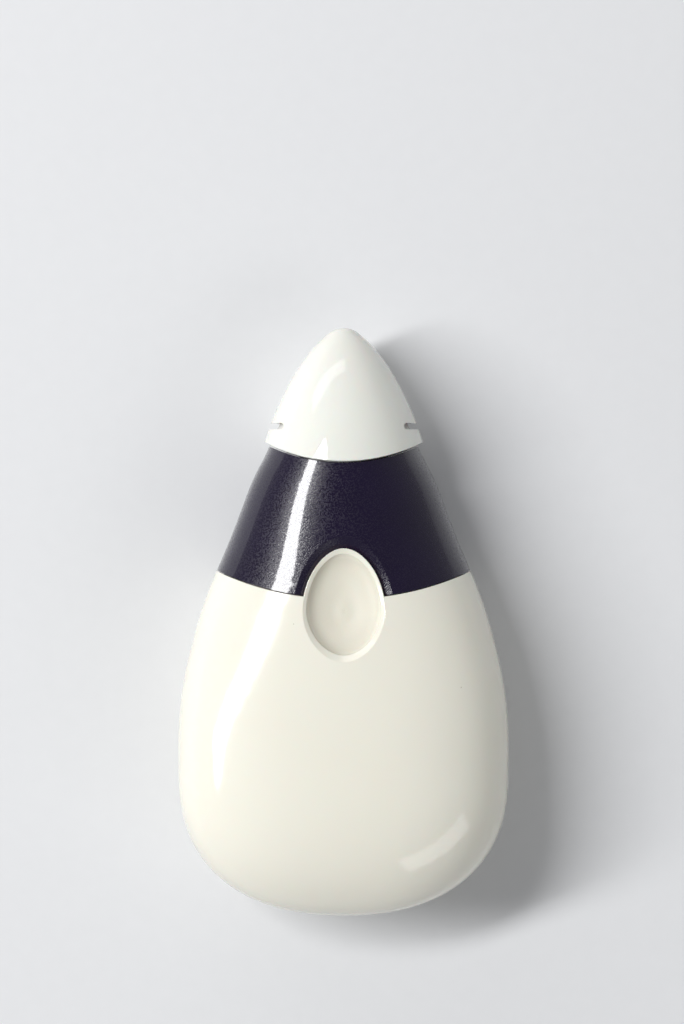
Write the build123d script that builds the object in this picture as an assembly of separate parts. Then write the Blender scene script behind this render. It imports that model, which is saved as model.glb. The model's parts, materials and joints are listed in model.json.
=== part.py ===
from build123d import *
import math
import os

# Chalk wheel marker for dressmaking: a drop-shaped handle of two moulded shells, a dark sleeve
# round its neck, a refill that pulls out of the neck with the toothed wheel in its nose, and a
# pointed cap over the nose. Millimetres.
# The pieces are drawn with the long axis along Y, counted from the tail, and the parting plane of
# the two shells at Z = 0. They are moved to the part's own frame when they are written. There it
# lies on its rear face as on a table, at Z = 0, on the belly's flat and the cap's rim, so that its
# axis dips a little to the tip. The middle of its length and width is over the origin.

# Whole handle
body_half_width = 23.85         # at the widest section
body_half_depth = 12.5          # at the thickest section
collar_top = 65.4               # tail to the middle of the collar's upper seam
collar_height = 19.5            # along the middle of the broad face
seam_radius = 25.1              # upper seam seen from the front, hollow side to the tip
mouth_rise = 4.6                # the handle's outline runs this far past the seam's middle
tail_reach = 22.0               # length of the rounded tail, up to the widest section
rest_place = 32.5               # tail to the middle of the flat that the belly lies on
rest_flat_depth = 0.12          # cut this deep into the belly
tail_bow = 2.6                  # how late the tail's sides turn in, 2 is an ellipse
tail_round = 2.25               # how flat the tail's end is, 2 is an ellipse

# Walls and fits
body_wall = 1.6
collar_wall = 1.2
neck_wall = 1.2
collar_fit = 0.08               # sleeve over the neck
seam_gap = 0.12                 # open line between collar and body
nose_gap = 0.15                 # open line between collar and nose
parting_gap = 0.03              # between the two shells, each side of the parting plane
neck_set_back = 0.4             # the neck ends below the collar's upper edge
overrun = 1.0                   # every cut runs this far past the surface

# Thumb dish, the same on both broad faces
dish_place = 44.3               # tail to the dish's widest line
dish_half_width = 5.37
dish_to_tip = 8.2
dish_to_tail = 6.4
dish_exponent = 1.85            # roundness of the outline, 2 is an ellipse
dish_depth = 1.7                # below the rim
dish_wall = 1.2
rim_drop = 0.5                  # the rim lies this deep under the surface
shoulder_width = 0.95           # slope from the rim up to the surface
lip_width = 0.65                # what stands of that slope inside the collar's notch
lip_to_tip = 0.8
bevel_width = 2.4               # collar's slope round the lip, beside it and to the tip
bevel_to_tip = 1.67
bevel_depth = 0.9
notch_fit = 0.06                # collar's notch round the lip

# Nose of the refill
nose_length = 16.0              # from the middle of the upper seam
nose_half_width = 11.4
nose_half_depth = 9.2
nose_wall = 1.5
spigot_radius = 6.4
spigot_length = 6.0
spigot_fit = 0.1
nose_rib = 0.9                  # thickness of the ribs that carry the spigot

# Cap
cap_length = 19.6               # from the middle of the upper seam
cap_wall = 0.75
cap_tip_wall = 1.8
cap_fit = 0.12                  # between nose and cap at the rim
rim_gap = 0.25                  # between cap and collar
slit_place = 14.3               # cap's tip to the middle of the slit
slit_height = 0.9
slit_inner = 8.65               # from the long axis to the slit's round end
catch_height = 0.2              # small ribs that click on the nose, below the slits
catch_width = 0.8
catch_drop = 1.3                # slit's middle to the catch's middle

# Wheel and what carries it
wheel_radius = 4.0
wheel_thickness = 1.0
wheel_stand_out = 0.6           # past the nose's tip
tooth_count = 28
tooth_depth = 0.45
hub_radius = 1.6
hub_stand_out = 0.12            # hub is thicker than the disc, each side
axle_radius = 0.6
axle_fit = 0.03
wheel_side_gap = 0.25           # disc to cheek
wheel_rim_gap = 0.3
cheek_thickness = 1.0
cheek_radius = 1.4              # round end about the axle
cheek_half_width = 2.3          # at the fork's body
pocket_fit = 0.15
fork_length = 3.2               # round body of the fork
fork_fit = 0.05
throat_radius = 3.4
throat_mouth_radius = 1.7

# Reservoir
reservoir_radius = 5.2
reservoir_wall = 0.9
reservoir_length = 42.0
reservoir_fit = 0.1
seal_thickness = 0.8
powder_fit = 0.08
powder_head = 4.5               # empty space over the powder
plug_flange = 1.0
plug_depth = 3.2
plug_fit = 0.02
plug_hollow_radius = 2.6

# Sleeve and the ribs and posts of the shells
sleeve_fit = 0.2
sleeve_wall = 0.7
sleeve_floor = 1.0
sleeve_end_gap = 0.5            # plug to the sleeve's floor
sleeve_seat_fit = 0.05
rib_thickness = 1.3
rear_rib_place = 28.0           # from the tail
front_rib_place = 57.0
mouth_wall = 1.6
post_radius = 2.5
peg_radius = 1.4
peg_length = 4.0
peg_fit = 0.06
post_places = [(13.0, 14.0), (15.0, 33.0)]

# Share of the way from the tail's end to the mouth, then shares of the largest half width and
# half depth, and the section's exponent
body_shares = [
    (0.0, 1.0, 1.0, 2.50),
    (0.125, 0.996, 0.995, 2.50),
    (0.25, 0.967, 0.972, 2.48),
    (0.375, 0.910, 0.928, 2.44),
    (0.5, 0.834, 0.876, 2.38),
    (0.625, 0.731, 0.824, 2.31),
    (0.75, 0.631, 0.784, 2.23),
    (0.875, 0.531, 0.757, 2.15),
    (1.0, 0.4285, 0.744, 2.08),
]
# Shares of the tail's reach where a section rounds the tail
tail_shares = [0.012, 0.06, 0.15, 0.29, 0.47, 0.72]
# Shares of the dish's depth, from its floor up, where a section shapes the bowl
bowl_shares = [0.985, 0.9, 0.7, 0.4, 0.0]
# Shares of the length from the tip, the half width and the half depth
nose_shares = [
    (0.008, 0.066, 0.076),
    (0.031, 0.132, 0.152),
    (0.075, 0.210, 0.240),
    (0.150, 0.307, 0.348),
    (0.250, 0.425, 0.478),
    (0.406, 0.588, 0.652),
    (0.5625, 0.737, 0.793),
    (0.719, 0.864, 0.902),
    (0.844, 0.939, 0.957),
    (1.0, 1.0, 1.0),
    (1.125, 1.030, 1.022),
]
cap_shares = [
    (0.008, 0.078, 0.090),
    (0.031, 0.155, 0.174),
    (0.061, 0.216, 0.239),
    (0.112, 0.306, 0.338),
    (0.214, 0.445, 0.488),
    (0.316, 0.559, 0.607),
    (0.4235, 0.657, 0.706),
    (0.531, 0.743, 0.791),
    (0.653, 0.829, 0.871),
    (0.770, 0.898, 0.930),
    (0.867, 0.947, 0.965),
    (1.0, 1.0, 1.0),
    (1.097, 1.029, 1.015),
]
cone_exponent = 2.05
outline_points = 24

# Places that follow from the sizes above
overall_length = collar_top + cap_length
mouth_place = collar_top + mouth_rise
seam_centre = collar_top + seam_radius
lower_seam_radius = seam_radius + collar_height
neck_inset = collar_wall + collar_fit
nose_tip = collar_top + nose_length
wheel_place = nose_tip + wheel_stand_out - wheel_radius
slot_half = wheel_thickness / 2 + wheel_side_gap
slot_radius = wheel_radius + wheel_rim_gap
bore_radius = reservoir_radius + reservoir_fit
reservoir_bore = reservoir_radius - reservoir_wall
cheek_outer = slot_half + cheek_thickness
fork_front = wheel_place - wheel_radius - wheel_rim_gap
fork_rear = fork_front - fork_length
reservoir_front = fork_rear - seal_thickness
reservoir_rear = reservoir_front - reservoir_length
sleeve_radius = reservoir_radius + sleeve_fit + sleeve_wall
sleeve_floor_place = reservoir_rear - plug_flange - sleeve_end_gap
sleeve_rear = sleeve_floor_place - sleeve_floor
spigot_rear = collar_top - spigot_length
sleeve_front = spigot_rear - sleeve_end_gap
cap_half_width = nose_half_width + cap_fit + cap_wall
cap_half_depth = nose_half_depth + cap_fit + cap_wall
rim_place = collar_top + rim_gap


def outline(width, high, low, exponent):
    """Points of a rounded outline that may reach further up than down."""
    power = 2 / exponent
    points = []
    for step in range(outline_points):
        turn = 2 * math.pi * (step + 1 / 2) / outline_points
        across = math.copysign(abs(math.cos(turn)) ** power, math.cos(turn))
        up = math.copysign(abs(math.sin(turn)) ** power, math.sin(turn))
        points.append((width * across, (high if up > 0 else low) * up))
    return points


def oval(half_width, half_depth, exponent, place):
    """Closed smooth section square to the long axis."""
    points = [(x, place, z) for x, z in outline(half_width, half_depth, half_depth, exponent)]
    return Wire([Spline(*points, periodic=True)])


def body_form(inset):
    """The handle's outside, drawn in by the inset."""
    exponent = body_shares[0][-1]
    sections = [Vertex(0, inset, 0)]
    for share in tail_shares:
        size = (1 - (1 - share) ** tail_bow) ** (1 / tail_round)
        sections.append(oval((body_half_width - inset) * size, (body_half_depth - inset) * size,
                             exponent, inset + share * (tail_reach - inset)))
    for share, width_share, depth_share, exponent in body_shares:
        place = tail_reach + share * (mouth_place - tail_reach)
        width = body_half_width * width_share - inset
        depth = body_half_depth * depth_share - inset
        sections.append(oval(width, depth, exponent, place))
    return Solid.make_loft(sections)


def cone_form(shares, length, half_width, half_depth, inset, tip_inset):
    """Nose or cap, counted from the seam's middle, drawn in by the inset."""
    tip = collar_top + length - tip_inset
    reach = length - tip_inset
    sections = [Vertex(0, tip, 0)]
    for share, width_share, depth_share in shares:
        width = (half_width - inset) * width_share
        depth = (half_depth - inset) * depth_share
        sections.append(oval(width, depth, cone_exponent, tip - share * reach))
    return Solid.make_loft(sections)


def seam_round(radius):
    """Everything on the tip's side of a seam, cut square through the parting plane."""
    return Pos(0, seam_centre, 0) * Cylinder(radius, 2 * body_half_width)


def rod(radius, start, end):
    """Round bar along the long axis."""
    return Pos(0, start, 0) * extrude(Plane.XZ * Circle(radius), -(end - start))


def depth_at(place):
    """Half depth of the handle's outside at a distance from the tail."""
    rows = [(tail_reach + row[0] * (mouth_place - tail_reach), row[2]) for row in body_shares]
    for (start, low), (end, high) in zip(rows, rows[1:]):
        if start <= place <= end:
            blend = (place - start) / (end - start)
            return body_half_depth * (low + blend * (high - low))
    return body_half_depth * rows[-1][1]


def egg(extra, extra_to_tip, height, size=1):
    """The dish's outline on its sloping plane, grown by the extras and then scaled."""
    points = outline((dish_half_width + extra) * size, (dish_to_tip + extra_to_tip) * size,
                     (dish_to_tail + extra) * size, dish_exponent)
    return Wire([Spline(*[(x, y, height) for x, y in points], periodic=True)])


def bowl(extra):
    """Hollow of the dish, grown by the extra, up to its rim and on to the surface."""
    depth = dish_depth + extra
    sections = [Vertex(0, 0, -rim_drop - depth)]
    for share in bowl_shares:
        size = math.sqrt(1 - share ** 2)
        sections.append(egg(extra, extra, -rim_drop - share * depth, size))
    sections.append(egg(extra, extra, 0))
    return Solid.make_loft(sections)


def widening(start, end, low, high):
    """Cut that widens at an even slope, and past its upper height."""
    rise = (high - low + overrun) / (high - low)
    wide = [first + rise * (last - first) for first, last in zip(start, end)]
    return Solid.make_loft([egg(*start, low), egg(*wide, high + overrun)], ruled=True)


def shoulder():
    """Slope from the dish's rim out to the surface."""
    return widening((0, 0), (shoulder_width, shoulder_width), -rim_drop, 0)


def bevel():
    """The collar's slope, from the foot of the lip out to the surface."""
    end = (lip_width + bevel_width, lip_to_tip + bevel_to_tip)
    return widening((lip_width, lip_to_tip), end, -bevel_depth, 0)


def lip_block(fit):
    """Straight-sided block inside the lip's outer edge, drawn in by the fit."""
    bottom = neck_inset + neck_wall / 2
    face = Face(egg(lip_width - fit, lip_to_tip - fit, -bottom))
    return extrude(face, bottom + overrun)


def dish_frames():
    """The dish's plane on the front face, and its mirror on the rear face."""
    low_place = dish_place - dish_to_tail
    high_place = dish_place + dish_to_tip + lip_to_tip
    fall = (depth_at(low_place) - depth_at(high_place)) / (high_place - low_place)
    height = depth_at(dish_place)
    front = Plane((0, dish_place, height), x_dir=(1, 0, 0), z_dir=(0, fall, 1))
    rear = Plane((0, dish_place, -height), x_dir=(-1, 0, 0), z_dir=(0, fall, -1))
    return [front, rear]


def post(x, place, radius, start, end):
    """Round post square to the parting plane."""
    return Pos(x, place, (start + end) / 2) * Cylinder(radius, end - start)


def tongue(end_radius, base_half, start, bottom, top):
    """Tapered tongue with a round end about the wheel's axis, between two heights."""
    outline = make_face(Polyline((-base_half, start), (base_half, start), (end_radius, wheel_place),
                                 (-end_radius, wheel_place), close=True))
    outline += Pos(0, wheel_place) * Circle(end_radius)
    return Pos(0, 0, bottom) * extrude(outline, top - bottom)


def half_space(side):
    """Everything above or below the parting plane, less the gap."""
    depth = 2 * body_half_depth
    room = Box(4 * body_half_width, 4 * overall_length, depth)
    return Pos(0, 0, side * (depth / 2 + parting_gap)) * room


def make_shells(body):
    """Both halves of the handle with neck, dish, ribs, posts and mouth wall."""
    dished = body
    for frame in dish_frames():
        dished -= frame * shoulder()
        dished -= frame * bowl(0)
    collar_room = seam_round(lower_seam_radius) - body_form(neck_inset)
    for frame in dish_frames():
        collar_room -= frame * lip_block(notch_fit)
    solid = dished - collar_room - seam_round(seam_radius + neck_set_back)
    neck_air = body_form(neck_inset + neck_wall)
    neck_air -= seam_round(seam_radius + neck_set_back + mouth_wall)
    air = neck_air + (body_form(body_wall) - seam_round(lower_seam_radius + body_wall))
    bore = rod(sleeve_radius + sleeve_seat_fit, sleeve_rear - overrun, mouth_place)
    for place in (rear_rib_place, front_rib_place):
        plate = Pos(0, place, 0) * Box(2 * body_half_width, rib_thickness, 2 * body_half_depth)
        air -= plate - bore
    for x, place in post_places:
        for side in (-1, 1):
            air -= post(side * x, place, post_radius, -body_half_depth, body_half_depth)
    for frame in dish_frames():
        air -= frame * bowl(dish_wall)
    solid -= air
    solid -= rod(spigot_radius + spigot_fit, sleeve_front, mouth_place)
    front = solid & half_space(1)
    rear = solid & half_space(-1)
    for x, place in post_places:
        for side in (-1, 1):
            front += post(side * x, place, peg_radius, -peg_length, parting_gap + peg_radius)
            rear -= post(side * x, place, peg_radius + peg_fit, -peg_length - peg_fit, overrun)
    return front, rear


def make_collar(body):
    """Dark sleeve between the two seams, notched round both dishes."""
    band = body & seam_round(lower_seam_radius - seam_gap)
    band -= seam_round(seam_radius)
    band -= body_form(collar_wall)
    for frame in dish_frames():
        band -= frame * lip_block(0)
        band -= frame * bevel()
    return band


def make_nose():
    """White working nose with its spigot, bore, cheek pocket and wheel slot."""
    cone = cone_form(nose_shares, nose_length, nose_half_width, nose_half_depth, 0, 0)
    core = cone_form(nose_shares, nose_length, nose_half_width, nose_half_depth, nose_wall,
                     nose_tip - fork_front)
    core -= rod(spigot_radius, spigot_rear, nose_tip)
    core -= Box(2 * nose_half_width, 4 * overall_length, nose_rib)
    core -= Box(nose_rib, 4 * overall_length, 2 * nose_half_depth)
    cone = (cone & seam_round(seam_radius - nose_gap)) - core
    cone += rod(spigot_radius, spigot_rear, fork_front)
    cone -= rod(bore_radius, spigot_rear - overrun, fork_front)
    pocket_height = cheek_outer + pocket_fit
    cone -= tongue(cheek_radius + pocket_fit, cheek_half_width + pocket_fit, fork_front - overrun,
                   -pocket_height, pocket_height)
    cone -= post(0, wheel_place, slot_radius, -slot_half, slot_half)
    slot_length = nose_length
    cone -= Pos(0, wheel_place + slot_length / 2, 0) * Box(2 * slot_radius, slot_length, 2 * slot_half)
    return cone


def make_wheel():
    """Serrated disc with a hub, free on its axle."""
    points = []
    for step in range(2 * tooth_count):
        angle = math.pi * step / tooth_count
        radius = wheel_radius - tooth_depth * (step % 2)
        points.append((radius * math.sin(angle), radius * math.cos(angle)))
    disc = extrude(make_face(Polyline(*points, close=True)), wheel_thickness / 2, both=True)
    hub_half = wheel_thickness / 2 + hub_stand_out
    disc += Cylinder(hub_radius, 2 * hub_half)
    disc -= Cylinder(axle_radius + axle_fit, 4 * hub_half)
    return Pos(0, wheel_place, 0) * disc


def make_fork():
    """Round body with the feed throat, and two cheeks for the axle."""
    fork = rod(bore_radius - fork_fit, fork_rear, fork_front)
    throat = Pos(0, (fork_rear + fork_front) / 2, 0) * (
        Rot(-90, 0, 0) * Cone(throat_radius, throat_mouth_radius, fork_length))
    fork -= throat
    for side in (-1, 1):
        low, high = sorted((side * slot_half, side * cheek_outer))
        fork += tongue(cheek_radius, cheek_half_width, fork_front - fork_fit, low, high)
    fork -= post(0, wheel_place, axle_radius + plug_fit, -2 * cheek_outer, 2 * cheek_outer)
    return fork


def make_cap():
    """Pointed cap with a slit and a catch on each narrow side."""
    size = (cap_length, cap_half_width, cap_half_depth)
    shape = cone_form(cap_shares, *size, 0, 0)
    hollow = cone_form(cap_shares, *size, cap_wall, cap_tip_wall)
    narrow = cone_form(cap_shares, *size, cap_wall + catch_height, cap_tip_wall)
    slit = overall_length - slit_place
    slab = Pos(0, slit - catch_drop, 0) * Box(4 * cap_half_width, catch_width, 4 * cap_half_depth)
    core = Box(2 * slit_inner, 4 * overall_length, 4 * cap_half_depth)
    catches = (hollow & slab) - core - narrow
    cap = (shape & seam_round(seam_radius - rim_gap)) - (hollow - catches)
    for side in (-1, 1):
        start = side * (slit_inner + slit_height / 2)
        middle = start + side * cap_half_width / 2
        cap -= Pos(middle, slit, 0) * Box(cap_half_width, slit_height, 4 * cap_half_depth)
        cap -= post(start, slit, slit_height / 2, -2 * cap_half_depth, 2 * cap_half_depth)
    return cap


def make_plug():
    """Stopper with a flange, hollow from the tail."""
    stem = rod(reservoir_bore - plug_fit, reservoir_rear, reservoir_rear + plug_depth)
    flange = rod(reservoir_radius, reservoir_rear - plug_flange, reservoir_rear)
    hollow = rod(plug_hollow_radius, reservoir_rear - plug_flange - overrun, reservoir_rear
                 + plug_depth - plug_flange)
    return stem + flange - hollow


def make_sleeve():
    """Blind tube that guides the refill."""
    tube = rod(sleeve_radius, sleeve_rear, sleeve_front)
    return tube - rod(sleeve_radius - sleeve_wall, sleeve_floor_place, sleeve_front + overrun)


def tube_between(outer, hole, start, end):
    """Plain tube along the long axis."""
    return rod(outer, start, end) - rod(hole, start - overrun, end + overrun)


def table_frame():
    """Lays the tool on the table, belly and cap's rim down, over the origin."""
    drop = depth_at(rest_place) - rest_flat_depth - cap_half_depth
    dip = math.atan2(drop, rim_place - rest_place)
    rim_height = -rim_place * math.sin(dip) - cap_half_depth * math.cos(dip)
    return Pos(0, -overall_length * math.cos(dip) / 2, -rim_height) * Rot(-math.degrees(dip), 0, 0)


body = body_form(0)
front_shell, rear_shell = make_shells(body)
pieces = {
    "front_shell": front_shell,
    "rear_shell": rear_shell,
    "grip_collar": make_collar(body),
    "cartridge_sleeve": make_sleeve(),
    "protective_cap": make_cap(),
    "nose_cone": make_nose(),
    "wheel_fork": make_fork(),
    "toothed_wheel": make_wheel(),
    "wheel_axle": post(0, wheel_place, axle_radius, -cheek_outer, cheek_outer),
    "throat_seal": tube_between(reservoir_radius, reservoir_bore, reservoir_front, fork_rear),
    "chalk_reservoir": tube_between(reservoir_radius, reservoir_bore, reservoir_rear,
                                    reservoir_front),
    "chalk_powder": rod(reservoir_bore - powder_fit, reservoir_rear + plug_depth,
                        reservoir_front - powder_head),
    "reservoir_plug": make_plug(),
}

frame = table_frame()
pieces = {name: frame * piece for name, piece in pieces.items()}
table = Pos(0, 0, -body_half_depth) * Box(2 * overall_length, 2 * overall_length,
                                          2 * body_half_depth)
pieces["rear_shell"] -= table

os.makedirs("parts", exist_ok=True)
for name, piece in pieces.items():
    export_step(piece, f"parts/{name}.step")
    print(name, round(piece.volume, 1))
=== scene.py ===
import json
import math
import bpy
from mathutils import Matrix, Vector

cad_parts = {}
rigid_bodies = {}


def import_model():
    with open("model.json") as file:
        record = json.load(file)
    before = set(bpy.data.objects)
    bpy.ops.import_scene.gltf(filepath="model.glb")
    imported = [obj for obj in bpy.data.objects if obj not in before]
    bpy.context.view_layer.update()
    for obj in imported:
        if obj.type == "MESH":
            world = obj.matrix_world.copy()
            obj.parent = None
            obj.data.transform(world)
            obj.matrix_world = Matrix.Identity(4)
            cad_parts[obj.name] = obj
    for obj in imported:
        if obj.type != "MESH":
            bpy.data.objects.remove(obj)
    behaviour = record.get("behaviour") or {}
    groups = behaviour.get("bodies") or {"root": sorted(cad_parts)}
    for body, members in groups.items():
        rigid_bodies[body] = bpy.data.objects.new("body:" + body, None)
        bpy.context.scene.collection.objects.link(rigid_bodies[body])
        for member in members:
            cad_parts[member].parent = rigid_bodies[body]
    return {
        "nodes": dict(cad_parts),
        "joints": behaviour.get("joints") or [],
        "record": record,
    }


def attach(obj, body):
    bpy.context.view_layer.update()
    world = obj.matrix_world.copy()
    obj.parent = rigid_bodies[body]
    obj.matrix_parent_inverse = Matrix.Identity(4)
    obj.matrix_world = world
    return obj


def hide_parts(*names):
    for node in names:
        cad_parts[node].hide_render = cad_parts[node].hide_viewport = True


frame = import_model()
millimetre = 0.001

for thing in list(bpy.data.objects):
    if thing.name not in frame["nodes"] and not thing.name.startswith("body:"):
        bpy.data.objects.remove(thing)
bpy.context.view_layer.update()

# The tool lies with its long axis dipping to the tip. Two joints give where that axis is
slide = next(joint for joint in frame["joints"] if joint["name"] == "refill_pull")
spin = next(joint for joint in frame["joints"] if joint["name"] == "wheel_spin")
wheelPlace = 78.0                        # from the tail to the wheel's middle, millimetres
alongAxis = Vector(slide["axis"]).normalized()
upAxis = Vector(spin["axis"]).normalized()
wheelMiddle = Vector(spin["pos_m"])
tailPoint = wheelMiddle - alongAxis * wheelPlace * millimetre
toolTurn = Matrix((Vector((1, 0, 0)), alongAxis, upAxis)).transposed().to_4x4()


def toolPoint(across, place, up=0.0):
    # Millimetres across, from the tail and above the parting plane, to a point of the row frame
    return tailPoint + (Vector((across, 0, 0)) + alongAxis * place + upAxis * up) * millimetre


dish = {"middle": 45.0, "halfWidth": 5.37, "halfLength": 7.3}      # millimetres, at its rim
sampling = {"recess": 8, "edges": 6}     # rays for each, more are slower and smoother


class Signal:
    # A socket in a shader. Operators on it add Math nodes
    def __init__(self, finish, socket):
        self.finish = finish
        self.socket = socket

    def combine(self, operation, first, second=None):
        values = {0: first} if second is None else {0: first, 1: second}
        return self.finish.add("ShaderNodeMath", {"operation": operation}, values)[0]

    def __add__(self, other):
        return self.combine("ADD", self, other)

    def __radd__(self, other):
        return self.combine("ADD", other, self)

    def __sub__(self, other):
        return self.combine("SUBTRACT", self, other)

    def __rsub__(self, other):
        return self.combine("SUBTRACT", other, self)

    def __mul__(self, other):
        return self.combine("MULTIPLY", self, other)

    def __rmul__(self, other):
        return self.combine("MULTIPLY", other, self)

    def __lt__(self, other):
        return self.combine("LESS_THAN", self, other)

    def __gt__(self, other):
        return self.combine("GREATER_THAN", self, other)

    def root(self):
        return self.combine("SQRT", self)


class Outputs:
    # The outputs of a node, as signals
    def __init__(self, finish, node):
        self.finish = finish
        self.node = node

    def __getitem__(self, key):
        return Signal(self.finish, self.node.outputs[key])


class Finish:
    # One material: its tree, its Principled shader and a method that adds any node
    def __init__(self, name, **uniform):
        self.material = bpy.data.materials.new(name)
        self.material.use_nodes = True
        self.tree = self.material.node_tree
        self.tree.nodes.clear()
        self.output = self.tree.nodes.new("ShaderNodeOutputMaterial")
        self.shader = self.tree.nodes.new("ShaderNodeBsdfPrincipled")
        self.tree.links.new(self.shader.outputs[0], self.output.inputs[0])
        for socket, value in uniform.items():
            self.shader.inputs[socket.replace("_", " ")].default_value = value
        self.place = self.add("ShaderNodeTexCoord", {}, {})["Object"]

    def add(self, kind, settings, values):
        node = self.tree.nodes.new(kind)
        for key, value in settings.items():
            setattr(node, key, value)
        for key, value in values.items():
            if isinstance(value, Signal):
                self.tree.links.new(value.socket, node.inputs[key])
            else:
                node.inputs[key].default_value = value
        return Outputs(self, node)

    def noise(self, scale, detail=2.0, roughness=0.5, where=None):
        values = {"Vector": where or self.place, "Scale": scale, "Detail": detail,
                  "Roughness": roughness}
        return self.add("ShaderNodeTexNoise", {"noise_dimensions": "3D"}, values)[0]

    def specks(self, scale, size, share):
        # 1 inside small round specks, which only a share of the cells hold
        cell = self.add("ShaderNodeTexVoronoi", {}, {"Vector": self.place, "Scale": scale})
        lot = self.add("ShaderNodeSeparateColor", {}, {0: cell["Color"]})[0]
        return (cell["Distance"] < size) * (lot < share)

    def mix(self, share, first, second):
        values = {0: share, 6: first, 7: second}
        return self.add("ShaderNodeMix", {"data_type": "RGBA"}, values)[2]

    def recess(self, reach):
        # 0 on open surfaces, towards 1 where walls stand near, weighting the painted shade in
        # recesses
        settings = {"samples": sampling["recess"], "only_local": False}
        clear = self.add("ShaderNodeAmbientOcclusion", settings, {"Distance": reach})["AO"]
        return 1 - clear

    def dishMask(self, inner, outer):
        # 1 inside the thumb dishes of both faces, fading to 0 between two shares of their size
        offset = self.add("ShaderNodeVectorMath", {"operation": "SUBTRACT"},
                          {0: self.place, 1: toolPoint(0, dish["middle"])})[0]
        across = self.add("ShaderNodeVectorMath", {"operation": "DOT_PRODUCT"},
                          {0: offset, 1: (1000 / dish["halfWidth"], 0, 0)})["Value"]
        along = self.add("ShaderNodeVectorMath", {"operation": "DOT_PRODUCT"},
                         {0: offset, 1: alongAxis * (1000 / dish["halfLength"])})["Value"]
        return self.add("ShaderNodeMapRange", {}, {0: across * across + along * along,
                                                   1: inner, 2: outer, 3: 1.0, 4: 0.0})[0]

    def roundEdges(self, radius):
        # Bends the normal near an edge, as a mould's small edge round does
        return self.add("ShaderNodeBevel", {"samples": sampling["edges"]}, {"Radius": radius})[0]

    def blendNormal(self, share, first, second):
        values = {0: share, 4: first, 5: second}
        return self.add("ShaderNodeMix", {"data_type": "VECTOR"}, values)[1]

    def bump(self, height, strength, distance, under=None):
        values = {"Height": height, "Strength": strength, "Distance": distance}
        if under is not None:
            values["Normal"] = under
        return self.add("ShaderNodeBump", {}, values)[0]

    def feed(self, **links):
        for socket, value in links.items():
            self.tree.links.new(value.socket, self.shader.inputs[socket.replace("_", " ")])
        return self


def tone(red, green, blue):
    # A colour given as it shows on a screen, 0 to 255, made linear
    linear = [((part / 255 + 0.055) / 1.055) ** 2.4 if part > 10 else part / 255 / 12.92
              for part in (red, green, blue)]
    return (*linear, 1.0)


creamGloss = {
    "color": tone(239, 237, 225),
    "warm": tone(237, 234, 220),
    "speck": tone(206, 200, 184),
    # painted shade: the colour that recesses, seams and the dishes are darkened towards
    "recess": tone(176, 166, 144),
    "roughness": 0.1,
    "edgeRound": 0.0002,
    "floorRound": 0.001,      # evens the dish's floor where its loft comes to a point
    "dishEdge": (0.8, 1.0),   # the dish's painted shade and its higher roughness fade here, as shares of its size squared
    "floorEdge": (0.1, 0.35),
    "flow": 70.0,             # scale of the moulding's soft clouds
    "peel": 700.0,            # scale of the faint orange peel
    "peelDepth": 0.000004,
    "peelStrength": 0.3,
    "specks": (420.0, 0.05, 0.05),      # their scale, size and share of the cells
    "recessReach": 0.003,
    "recessShare": 1.15,
    "dishShade": 0.26,
    "dishRoughness": 0.42,
}


def makeCream():
    finish = Finish("creamGloss", IOR=1.5, Subsurface_Weight=0.1, Subsurface_Scale=0.0015)
    clouds = finish.noise(creamGloss["flow"], 3.0)
    color = finish.mix(clouds, creamGloss["color"], creamGloss["warm"])
    color = finish.mix(finish.specks(*creamGloss["specks"]), color, creamGloss["speck"])
    smears = finish.noise(creamGloss["flow"] * 3, 4.0, 0.65)
    peel = finish.noise(creamGloss["peel"], 2.0)
    # inDish weights the dishes' painted shade and their higher roughness
    inDish = finish.dishMask(*creamGloss["dishEdge"])
    onFloor = finish.dishMask(*creamGloss["floorEdge"])
    # Painted shade: the base colour darkens where walls stand near and inside the thumb dishes
    shade = (finish.recess(creamGloss["recessReach"]) * creamGloss["recessShare"]
             + inDish * creamGloss["dishShade"])
    color = finish.mix(shade, color, creamGloss["recess"])
    rounded = finish.blendNormal(onFloor, finish.roundEdges(creamGloss["edgeRound"]),
                                 finish.roundEdges(creamGloss["floorRound"]))
    finish.feed(Base_Color=color,
                Roughness=creamGloss["roughness"] * 0.7 + smears * creamGloss["roughness"] * 0.6
                + inDish * creamGloss["dishRoughness"],
                Normal=finish.bump(peel, creamGloss["peelStrength"], creamGloss["peelDepth"],
                                   rounded))
    return finish.material


collarSatin = {
    "color": tone(20, 8, 42),
    "deep": tone(15, 5, 34),
    "dust": tone(150, 148, 158),
    "roughness": 0.1,
    "pitRoughness": 0.3,
    "edgeRound": 0.00018,
    "grain": 4300.0,          # scale of the spark-eroded texture
    "grainDepth": 0.00005,
    "grainStrength": 0.5,
    "pitEdges": (0.44, 0.58),  # the grain's heights between which it turns from smooth to rough
    "cloudScale": 180.0,
    "specks": (330.0, 0.045, 0.07),
}


def makeCollar():
    finish = Finish("collarSatin", IOR=1.42, Coat_Weight=0.74, Coat_Roughness=0.05, Coat_IOR=1.5)
    grain = finish.noise(collarSatin["grain"], 2.0, 0.7)
    clouds = finish.noise(collarSatin["cloudScale"], 3.0)
    color = finish.mix(clouds, collarSatin["color"], collarSatin["deep"])
    color = finish.mix(finish.specks(*collarSatin["specks"]), color, collarSatin["dust"])
    rounded = finish.roundEdges(collarSatin["edgeRound"])
    smooth, rough = collarSatin["pitEdges"]
    pits = finish.add("ShaderNodeMapRange", {}, {0: grain, 1: smooth, 2: rough, 3: 0.0, 4: 1.0})[0]
    finish.feed(Base_Color=color,
                Roughness=collarSatin["roughness"] + pits * collarSatin["pitRoughness"],
                Normal=finish.bump(grain, collarSatin["grainStrength"], collarSatin["grainDepth"],
                                   rounded))
    return finish.material


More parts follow.
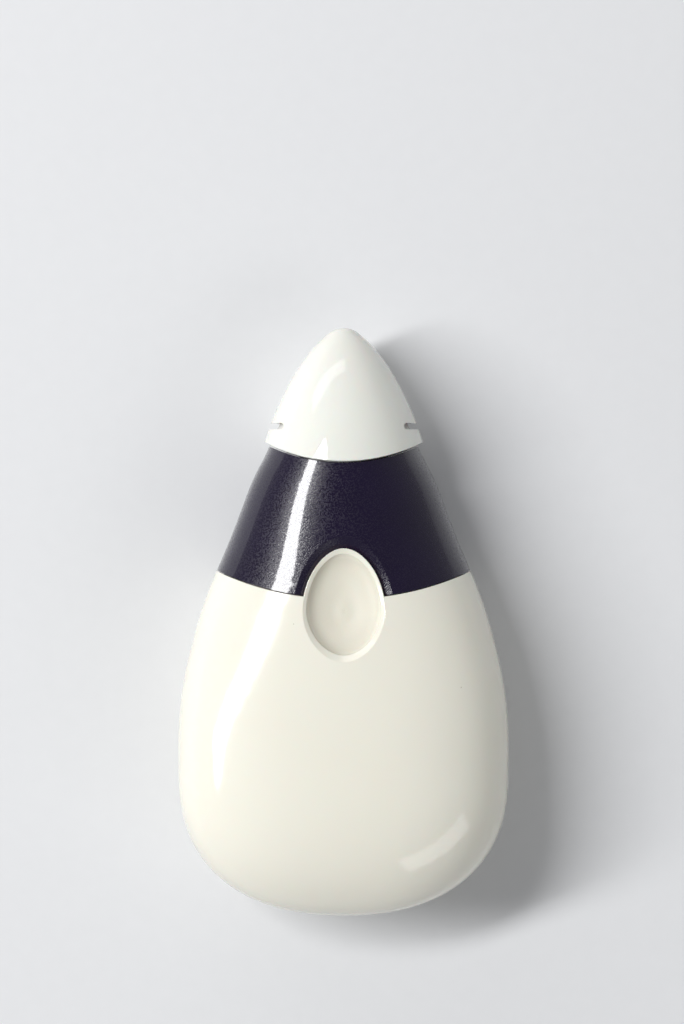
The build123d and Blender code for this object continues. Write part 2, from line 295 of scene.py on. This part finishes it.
capGloss = {
    "color": tone(239, 238, 231),
    "shade": tone(236, 235, 227),
    "roughness": 0.05,
    "edgeRound": 0.00016,
    "cloudScale": 90.0,
    "smearScale": 260.0,
    "peel": 500.0,
    "peelDepth": 0.000004,
    "peelStrength": 0.2,
}


def makeCap():
    finish = Finish("capGloss", IOR=1.52, Subsurface_Weight=0.15, Subsurface_Scale=0.002)
    clouds = finish.noise(capGloss["cloudScale"], 3.0)
    smears = finish.noise(capGloss["smearScale"], 4.0, 0.65)
    rounded = finish.roundEdges(capGloss["edgeRound"])
    finish.feed(Base_Color=finish.mix(clouds, capGloss["color"], capGloss["shade"]),
                Roughness=capGloss["roughness"] * 0.7 + smears * capGloss["roughness"] * 0.6,
                Normal=finish.bump(finish.noise(capGloss["peel"]), capGloss["peelStrength"],
                                   capGloss["peelDepth"], rounded))
    return finish.material


noseWhite = {
    "color": tone(233, 233, 231),
    "shade": tone(228, 228, 225),
    "chalk": tone(247, 247, 244),
    "roughness": 0.2,
    "edgeRound": 0.00014,
    "dustReach": (0.006, 0.013),   # chalk clings this near to the wheel's middle, metres
    "cloudScale": 120.0,
    "powderScale": 900.0,
    "powderRoughness": 0.6,
    "powderDepth": 0.00003,
    "powderStrength": 0.4,
}


def makeNose():
    finish = Finish("noseWhite", IOR=1.49)
    clouds = finish.noise(noseWhite["cloudScale"], 3.0)
    color = finish.mix(clouds, noseWhite["color"], noseWhite["shade"])
    near, far = noseWhite["dustReach"]
    away = finish.add("ShaderNodeVectorMath", {"operation": "DISTANCE"},
                      {0: finish.place, 1: wheelMiddle})["Value"]
    closeness = finish.add("ShaderNodeMapRange", {}, {0: away, 1: near, 2: far, 3: 1.0, 4: 0.0})[0]
    powder = closeness * finish.noise(noseWhite["powderScale"], 5.0, 0.7)
    rounded = finish.roundEdges(noseWhite["edgeRound"])
    finish.feed(Base_Color=finish.mix(powder, color, noseWhite["chalk"]),
                Roughness=noseWhite["roughness"] + powder * noseWhite["powderRoughness"],
                Normal=finish.bump(powder, noseWhite["powderStrength"], noseWhite["powderDepth"],
                                   rounded))
    return finish.material


wheelSteel = {
    "color": tone(204, 204, 206),
    "shade": tone(176, 176, 180),
    "chalk": tone(240, 240, 237),
    "rings": 9000.0,          # grinding marks round the axle, per metre
    "ringRoughness": 0.1,
    "ringDepth": 0.000005,
    "ringStrength": 0.2,
    "roughness": 0.25,
    "powderScale": 1400.0,
    "powderLevel": 0.56,      # chalk shows where the noise is over this
    "powderRadius": 0.0031,   # and this far from the axle, metres
    "powderRoughness": 0.6,
}


def makeWheelSteel():
    finish = Finish("wheelSteel")
    offset = finish.add("ShaderNodeVectorMath", {"operation": "SUBTRACT"},
                        {0: finish.place, 1: wheelMiddle})[0]
    height = finish.add("ShaderNodeVectorMath", {"operation": "DOT_PRODUCT"},
                        {0: offset, 1: upAxis})["Value"]
    length = finish.add("ShaderNodeVectorMath", {"operation": "LENGTH"}, {0: offset})["Value"]
    radius = (length * length - height * height).root()
    rings = finish.add("ShaderNodeTexNoise", {"noise_dimensions": "1D"},
                       {"W": radius, "Scale": wheelSteel["rings"], "Detail": 2.0})[0]
    clumps = finish.noise(wheelSteel["powderScale"], 5.0, 0.7)
    powder = (clumps > wheelSteel["powderLevel"]) * (radius > wheelSteel["powderRadius"])
    color = finish.mix(rings, wheelSteel["color"], wheelSteel["shade"])
    finish.feed(Base_Color=finish.mix(powder, color, wheelSteel["chalk"]),
                Metallic=1 - powder,
                Roughness=wheelSteel["roughness"] + rings * wheelSteel["ringRoughness"]
                + powder * wheelSteel["powderRoughness"],
                Normal=finish.bump(rings, wheelSteel["ringStrength"], wheelSteel["ringDepth"]))
    return finish.material


plainBase = {"cloudScale": 160.0, "strength": 0.3}
plainFinishes = {
    "fork_natural": {"name": "forkNatural", "color": tone(222, 219, 208),
                     "shade": tone(216, 212, 200), "roughness": 0.45, "grain": 3000.0},
    "axle_steel": {"name": "axleSteel", "color": tone(190, 190, 192),
                   "shade": tone(178, 178, 181), "roughness": 0.22, "grain": 4000.0,
                   "Metallic": 1.0},
    "seal_rubber": {"name": "sealRubber", "color": tone(50, 50, 52),
                    "shade": tone(42, 42, 44), "roughness": 0.75, "grain": 3000.0},
    "reservoir_clear": {"name": "reservoirClear", "color": tone(232, 236, 236),
                        "shade": tone(226, 231, 231), "roughness": 0.2, "grain": 1500.0,
                        "IOR": 1.49, "Alpha": 0.45},
    "chalk_white": {"name": "chalkWhite", "color": tone(240, 240, 236),
                    "shade": tone(228, 228, 222), "roughness": 0.95, "grain": 3500.0,
                    "depth": 0.00004},
    "plug_grey": {"name": "plugGrey", "color": tone(180, 182, 184),
                  "shade": tone(172, 174, 176), "roughness": 0.5, "grain": 3000.0},
    "sleeve_natural": {"name": "sleeveNatural", "color": tone(224, 221, 211),
                       "shade": tone(217, 213, 202), "roughness": 0.45, "grain": 3000.0},
}


def makePlain(name, color, shade, roughness, grain, depth=0.000006, **uniform):
    finish = Finish(name, **uniform)
    clouds = finish.noise(plainBase["cloudScale"], 3.0)
    fine = finish.noise(grain, 2.0)
    finish.feed(Base_Color=finish.mix(clouds, color, shade),
                Roughness=roughness * 0.8 + fine * roughness * 0.4,
                Normal=finish.bump(fine, plainBase["strength"], depth))
    return finish.material


materials = {
    "handle_cream": makeCream(),
    "collar_aubergine": makeCollar(),
    "cap_white": makeCap(),
    "nose_white": makeNose(),
    "wheel_steel": makeWheelSteel(),
}
for slot, settings in plainFinishes.items():
    materials[slot] = makePlain(**settings)
for row in frame["record"]["subparts"]:
    slots = frame["nodes"][row["node"]].data.materials
    slots.clear()
    slots.append(materials[row["material_slot"]])
print("materials on", len(materials), "slots")

toothHeight = 0.57             # of a tooth with its root inside the disc, millimetres
wheelSizes = {
    "toothCount": 28,
    "tipRadius": 4.0,
    "rootRadius": 3.55,
    "thickness": 1.0,
    "hubRadius": 1.6,
    "hubThickness": 1.24,
    "boreRadius": 0.63,
    "toothRadius": toothHeight / 1.5,    # of the circle through a tooth's three corners
    "edgeRound": 0.025,
    "rimSides": 112,
    "hubSides": 64,
    "boreSides": 48,
}
# The teeth stand side by side at the root, so they are wider than an even triangle
rootHalf = wheelSizes["rootRadius"] * math.tan(math.pi / wheelSizes["toothCount"])
rootShare = (wheelSizes["tipRadius"] - wheelSizes["rootRadius"]) / toothHeight
toothSpread = rootHalf / rootShare / (wheelSizes["toothRadius"] * math.sin(math.pi / 3))


def addNode(tree, kind, settings, values):
    node = tree.nodes.new(kind)
    for key, value in settings.items():
        setattr(node, key, value)
    for key, value in values.items():
        if isinstance(value, bpy.types.NodeSocket):
            tree.links.new(value, node.inputs[key])
        else:
            node.inputs[key].default_value = value
    return node


def wheelTree():
    # A disc with teeth on its rim and a hub, bored for the axle, flat on the XY plane
    tree = bpy.data.node_groups.new("serratedWheel", "GeometryNodeTree")
    tree.interface.new_socket("Geometry", in_out="OUTPUT", socket_type="NodeSocketGeometry")
    for name, value in wheelSizes.items():
        kind = "NodeSocketInt" if isinstance(value, int) else "NodeSocketFloat"
        tree.interface.new_socket(name, in_out="INPUT", socket_type=kind)
    size = tree.nodes.new("NodeGroupInput").outputs

    def roundBar(vertices, radius, depth):
        return addNode(tree, "GeometryNodeMeshCylinder", {"fill_type": "NGON"},
                       {"Vertices": vertices, "Radius": size[radius], "Depth": depth}).outputs["Mesh"]

    ring = addNode(tree, "ShaderNodeMath", {"operation": "SUBTRACT"},
                   {0: size["tipRadius"], 1: size["toothRadius"]}).outputs[0]
    places = addNode(tree, "GeometryNodeMeshCircle", {"fill_type": "NONE"},
                     {"Vertices": size["toothCount"], "Radius": ring}).outputs["Mesh"]
    where = tree.nodes.new("GeometryNodeInputPosition").outputs[0]
    turn = addNode(tree, "FunctionNodeAlignRotationToVector", {"axis": "X"},
                   {"Vector": where}).outputs[0]
    teeth = addNode(tree, "GeometryNodeInstanceOnPoints", {},
                    {"Points": places, "Instance": roundBar(3, "toothRadius", size["thickness"]),
                     "Rotation": turn, "Scale": (1.0, toothSpread, 1.0)}).outputs[0]
    teeth = addNode(tree, "GeometryNodeRealizeInstances", {}, {0: teeth}).outputs[0]
    joined = tree.nodes.new("GeometryNodeJoinGeometry")
    for part in (roundBar(size["rimSides"], "rootRadius", size["thickness"]), teeth,
                 roundBar(size["hubSides"], "hubRadius", size["hubThickness"])):
        tree.links.new(part, joined.inputs[0])
    whole = addNode(tree, "GeometryNodeMeshBoolean", {"operation": "UNION", "solver": "EXACT"},
                    {"Mesh 2": joined.outputs[0], "Self Intersection": True}).outputs[0]
    bored = addNode(tree, "GeometryNodeMeshBoolean", {"operation": "DIFFERENCE", "solver": "EXACT"},
                    {"Mesh 1": whole,
                     "Mesh 2": roundBar(size["boreSides"], "boreRadius",
                                        size["tipRadius"])}).outputs[0]
    bored = addNode(tree, "GeometryNodeRealizeInstances", {}, {0: bored}).outputs[0]
    painted = addNode(tree, "GeometryNodeSetMaterial", {},
                      {"Geometry": bored, "Material": materials["wheel_steel"]}).outputs[0]
    tree.links.new(painted, tree.nodes.new("NodeGroupOutput").inputs[0])
    return tree


def makeWheel():
    tree = wheelTree()
    blank = bpy.data.objects.new("wheelBlank", bpy.data.meshes.new("wheelBlank"))
    bpy.context.scene.collection.objects.link(blank)
    growth = blank.modifiers.new("teeth", "NODES")
    growth.node_group = tree
    for item in tree.interface.items_tree:
        if item.in_out == "INPUT":
            value = wheelSizes[item.name]
            growth[item.identifier] = value if isinstance(value, int) else value * millimetre
    edges = blank.modifiers.new("edges", "BEVEL")
    edges.width = wheelSizes["edgeRound"] * millimetre
    edges.segments = 2
    edges.limit_method = "ANGLE"
    grown = blank.evaluated_get(bpy.context.evaluated_depsgraph_get())
    mesh = bpy.data.meshes.new_from_object(grown)
    bpy.data.objects.remove(blank)
    mesh.transform(Matrix.Translation(wheelMiddle) @ toolTurn)
    wheel = bpy.data.objects.new("serratedWheel", mesh)
    bpy.context.scene.collection.objects.link(wheel)
    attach(wheel, "wheel")
    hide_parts("toothed_wheel")
    print("wheel with", wheelSizes["toothCount"], "teeth,", len(mesh.polygons), "faces")


makeWheel()

stage = {
    "tableColor": tone(228, 229, 231),
    "tableShade": tone(225, 226, 228),
    "tableGrain": 400.0,
    "tableSize": 3.0,
    "sensorHeight": 36.0,
    "viewDistance": 0.75,
    "frameHeight": 148.2,      # millimetres that the photograph's height covers at the tool
    "centrePlace": 58.35,      # from the tail to what the photograph's middle shows
    "centreAcross": -0.25,
    "lightPlace": 45.0,        # from the tail to what the lights aim at
    "lightHeight": 5,          # and how far that is above the parting plane
    "roomColor": (0.97, 0.98, 1.0, 1.0),
    "roomLow": 0.4,            # the room's light at the table's level, and overhead
    "roomHigh": 0.14,
}
softboxes = {                  # directions in the tool's own frame, metres and watts
    "keySoftbox": {"direction": (-0.85, 0.18, 1.0), "along": (-1.05, -0.42, 0.0),
                   "distance": 1.1, "size": (0.95, 0.15), "watts": 11.8},
    "backSoftbox": {"direction": (-0.3, 0.75, 0.45), "along": (-1.0, -0.3, 0.0),
                    "distance": 1.0, "size": (0.8, 0.2), "watts": 1.2},
    "fillSoftbox": {"direction": (0.7, -0.75, 0.7), "along": (1.0, 0.5, 0.0),
                    "distance": 1.1, "size": (0.8, 0.3), "watts": 1.6},
}


def makeTable():
    half = stage["tableSize"] / 2
    mesh = bpy.data.meshes.new("table")
    corners = [(-half, -half, 0), (half, -half, 0), (half, half, 0), (-half, half, 0)]
    mesh.from_pydata(corners, [], [(0, 1, 2, 3)])
    table = bpy.data.objects.new("table", mesh)
    bpy.context.scene.collection.objects.link(table)
    finish = Finish("tablePaper", Roughness=0.6, IOR=1.4)
    grain = finish.noise(stage["tableGrain"], 3.0)
    finish.feed(Base_Color=finish.mix(grain, stage["tableColor"], stage["tableShade"]))
    mesh.materials.append(finish.material)


def makeSoftbox(name, direction, along, distance, size, watts):
    # It shines from the first direction, and its length lies along the second one
    lamp = bpy.data.lights.new(name, "AREA")
    lamp.shape = "RECTANGLE"
    lamp.size, lamp.size_y = size
    lamp.energy = watts
    back = (toolTurn.to_3x3() @ Vector(direction)).normalized()
    across = toolTurn.to_3x3() @ Vector(along)
    across = (across - back * across.dot(back)).normalized()
    turn = Matrix((across, back.cross(across), back)).transposed().to_4x4()
    holder = bpy.data.objects.new(name, lamp)
    target = toolPoint(0, stage["lightPlace"], stage["lightHeight"])
    holder.matrix_world = Matrix.Translation(target + back * distance) @ turn
    bpy.context.scene.collection.objects.link(holder)


def makeCamera():
    lens = bpy.data.cameras.new("photoCamera")
    lens.sensor_fit = "VERTICAL"
    lens.sensor_height = stage["sensorHeight"]
    lens.lens = stage["sensorHeight"] * stage["viewDistance"] / (stage["frameHeight"] * millimetre)
    camera = bpy.data.objects.new("photoCamera", lens)
    target = toolPoint(stage["centreAcross"], stage["centrePlace"])
    camera.matrix_world = Matrix.Translation(target + upAxis * stage["viewDistance"]) @ toolTurn
    bpy.context.scene.collection.objects.link(camera)
    bpy.context.scene.camera = camera


def makeRoom():
    # The room is dark overhead and lighter to the sides, as round a copy stand
    world = bpy.data.worlds.new("studio")
    world.use_nodes = True
    tree = world.node_tree
    background = tree.nodes["Background"]
    background.inputs[0].default_value = stage["roomColor"]
    way = tree.nodes.new("ShaderNodeTexCoord")
    parts = tree.nodes.new("ShaderNodeSeparateXYZ")
    level = tree.nodes.new("ShaderNodeMapRange")
    for socket, value in zip((1, 2, 3, 4), (0.0, 1.0, stage["roomLow"], stage["roomHigh"])):
        level.inputs[socket].default_value = value
    tree.links.new(way.outputs["Generated"], parts.inputs[0])
    tree.links.new(parts.outputs["Z"], level.inputs[0])
    tree.links.new(level.outputs[0], background.inputs[1])
    bpy.context.scene.world = world


makeTable()
for name, box in softboxes.items():
    makeSoftbox(name, **box)
makeRoom()
bpy.context.scene.view_settings.view_transform = "Standard"
makeCamera()
print("stage, light and camera set")
